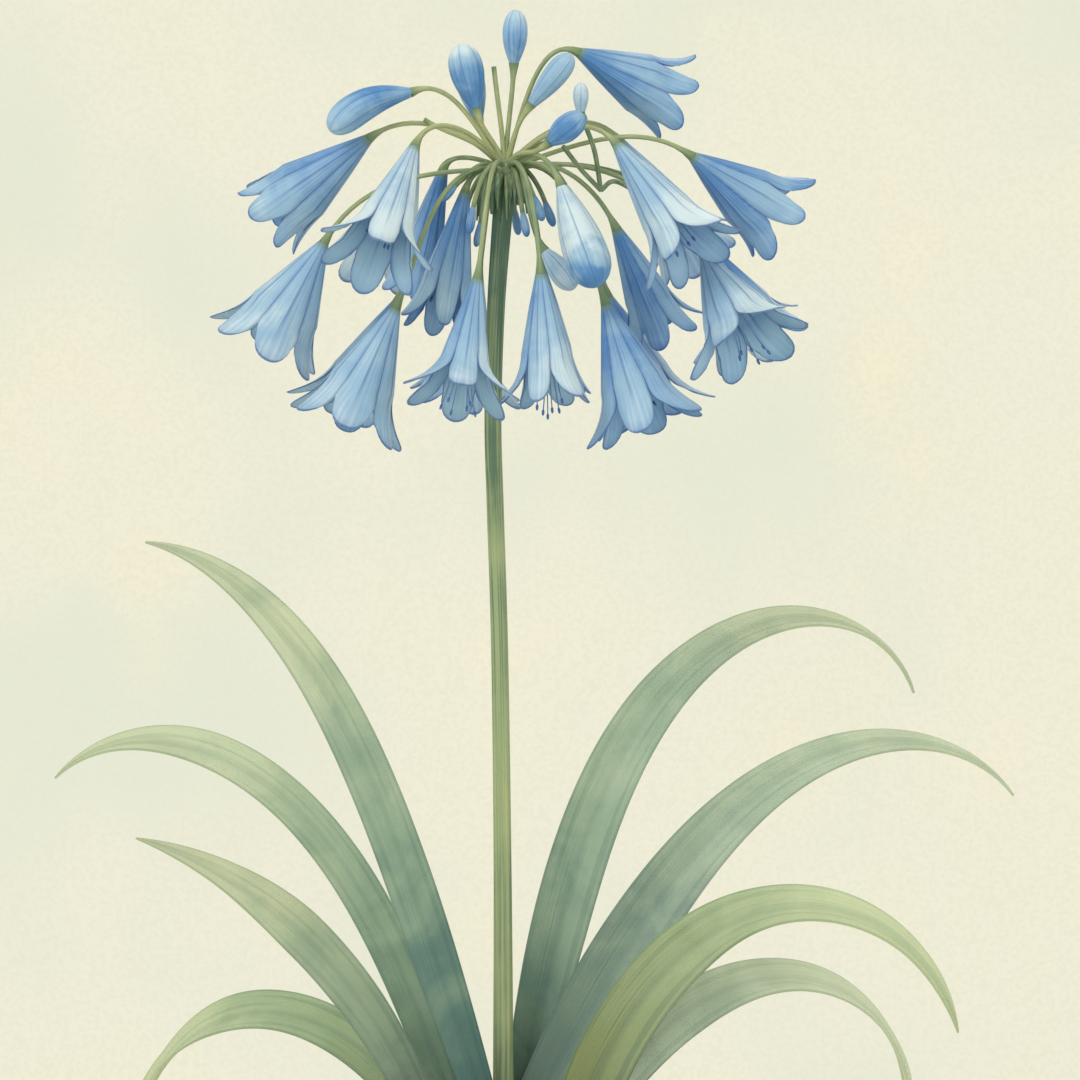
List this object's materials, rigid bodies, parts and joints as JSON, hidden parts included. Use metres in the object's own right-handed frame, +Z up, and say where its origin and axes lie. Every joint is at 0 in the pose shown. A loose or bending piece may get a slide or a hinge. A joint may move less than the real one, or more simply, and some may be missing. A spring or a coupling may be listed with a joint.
{
  "type": "agapanthus plant",
  "caption": "Flowering agapanthus in a plain clay pot: arching strap leaves and one tall stem with a round head of drooping blue bells and buds.",
  "frame": {"origin": "middle of the pot's underside", "axes": "+Z up the stem, -Y towards the viewer, +X to the viewer's right"},
  "size_m": [0.445, 0.2199, 0.668],
  "materials": {
    "clay": "unglazed terracotta, dry and slightly chalky",
    "soil": "dark crumbly potting soil",
    "stalk": "waxy green stem with fine lengthwise ridges",
    "leaf": "smooth sage-green strap leaf, blue-green at the foot",
    "petal": "soft satin petal, sky blue with darker veins",
    "bud": "soft satin bud, darker blue with a pale tip"
  },
  "bodies": {
    "root": {"pot": "clay", "soil": "soil", "stalk": "stalk", "leaf_left_1": "leaf", "leaf_left_2": "leaf", "leaf_left_3": "leaf", "leaf_left_4": "leaf", "leaf_right_1": "leaf", "leaf_right_2": "leaf", "leaf_right_3": "leaf", "leaf_right_4": "leaf", "bloom_01": "petal", "bloom_02": "petal", "bloom_03": "petal", "bloom_04": "petal", "bloom_05": "petal", "bloom_06": "petal", "bloom_07": "petal", "bloom_08": "petal", "bloom_09": "petal", "bloom_10": "petal", "bloom_11": "petal", "bloom_12": "petal", "bloom_13": "petal", "bloom_14": "petal", "bloom_15": "petal", "bloom_16": "petal", "bloom_17": "petal", "bloom_18": "petal", "bloom_19": "petal", "bloom_20": "petal", "bloom_21": "petal", "bud_01": "bud", "bud_02": "bud", "bud_03": "bud", "bud_04": "bud", "bud_05": "bud", "bud_06": "bud", "bud_07": "bud", "bud_08": "bud", "bud_09": "bud", "bud_10": "bud", "bud_11": "bud", "young_bud_1": "bud", "young_bud_2": "bud", "young_bud_3": "bud", "young_bud_4": "bud", "young_bud_5": "bud", "young_bud_6": "bud", "young_bud_7": "bud", "young_bud_8": "bud"}
  },
  "joints": []
}
